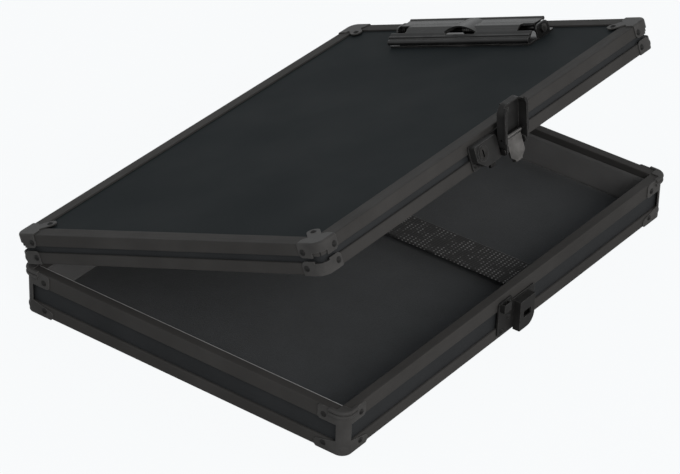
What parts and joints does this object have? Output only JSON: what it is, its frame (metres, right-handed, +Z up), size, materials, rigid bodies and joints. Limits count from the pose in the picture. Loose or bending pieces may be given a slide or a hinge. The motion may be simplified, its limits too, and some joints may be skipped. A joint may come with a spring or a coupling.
{
  "type": "storage clipboard",
  "caption": "Shallow storage tray with a hinged lid that serves as a writing board, a sprung paper clip, a lever latch and a key lock.",
  "frame": {"origin": "centre of the underside of the tray", "axes": "+X across the case towards the latch, +Y along it towards the clip end, +Z up; the lid is drawn open by 20.7 degrees"},
  "size_m": [0.2684, 0.3598, 0.1597],
  "materials": {
    "board": "matt black grained board",
    "panel": "smooth dark grey writing panel",
    "trim": "satin black",
    "guard": "satin black, pressed steel",
    "rivet": "dark plated",
    "lining": "dark grey felt",
    "strap": "black woven elastic",
    "hardware": "satin black, pressed steel",
    "plated": "nickel plated"
  },
  "bodies": {
    "tray": {"bottom_panel": "board", "base_side_right": "board", "base_side_far": "board", "base_side_left": "board", "base_side_near": "board", "rim_trim_right": "trim", "rim_trim_far": "trim", "rim_trim_left": "trim", "rim_trim_near": "trim", "foot_trim_right": "trim", "foot_trim_far": "trim", "foot_trim_left": "trim", "foot_trim_near": "trim", "base_guard_far_right": "guard", "base_guard_far_left": "guard", "base_guard_near_left": "guard", "base_guard_near_right": "guard", "base_rivets": "rivet", "floor_pad": "lining", "wall_lining": "lining", "elastic_strap": "strap", "hinge_base_leaf": "hardware", "hinge_pin": "plated", "keeper_plate": "hardware", "hook_strike": "hardware"},
    "lid": {"writing_panel": "panel", "lid_frame": "board", "top_trim_right": "trim", "top_trim_far": "trim", "top_trim_left": "trim", "top_trim_near": "trim", "lid_edge_trim_right": "trim", "lid_edge_trim_far": "trim", "lid_edge_trim_left": "trim", "lid_edge_trim_near": "trim", "lid_cap_far_right": "guard", "lid_cap_far_left": "guard", "lid_cap_near_left": "guard", "lid_cap_near_right": "guard", "lid_bracket_far_right": "guard", "lid_bracket_far_left": "guard", "lid_bracket_near_left": "guard", "lid_bracket_near_right": "guard", "lid_rivets": "rivet", "lid_lining": "lining", "hinge_lid_leaf": "hardware", "latch_plate": "hardware", "lever_pivots": "plated", "lock_housing": "hardware", "clip_base": "hardware", "clip_rod": "plated", "clip_rivets": "rivet", "clip_spring": "plated"},
    "latch_lever": {"latch_lever": "hardware", "hook_pin": "plated"},
    "latch_hook": {"latch_hook": "plated"},
    "lock_cylinder": {"lock_cylinder": "plated"},
    "lock_bolt": {"lock_bolt": "plated"},
    "clip_lever": {"clip_lever": "hardware"}
  },
  "joints": [
    {"name": "lid_hinge", "type": "hinge", "parent": "tray", "child": "lid", "pos_m": [-0.1296, 0, 0.0326], "axis": [0, -1, 0], "range_deg": [-20.7, 89.3]},
    {"name": "lever_flip", "type": "hinge", "parent": "lid", "child": "latch_lever", "pos_m": [0.11507, 0.008, 0.12943], "axis": [0, -1, 0], "range_deg": [-165, 5]},
    {"name": "hook_swing", "type": "hinge", "parent": "latch_lever", "child": "latch_hook", "pos_m": [0.11338, 0.008, 0.1363], "axis": [0, -1, 0], "range_deg": [-5, 165]},
    {"name": "key_turn", "type": "hinge", "parent": "lid", "child": "lock_cylinder", "pos_m": [0.10827, -0.022, 0.13413], "axis": [0.9354, 0, 0.3535], "range_deg": [-90, 0]},
    {"name": "bolt_slide", "type": "slide", "parent": "lid", "child": "lock_bolt", "axis": [0.3535, 0, -0.9354], "range_m": [0, 0.007]},
    {"name": "clip_open", "type": "hinge", "parent": "lid", "child": "clip_lever", "pos_m": [-0.0172, 0.1525, 0.1018], "axis": [-0.9354, 0, -0.3535], "range_deg": [0, 30], "stiffness_Nm_per_rad": 0.3, "springref_deg": -28.65}
  ],
  "couplings": [
    {"joint": "hook_swing", "follows": "lever_flip", "ratio": -1},
    {"joint": "key_turn", "follows": "bolt_slide", "rad_per_m": -224.39}
  ]
}
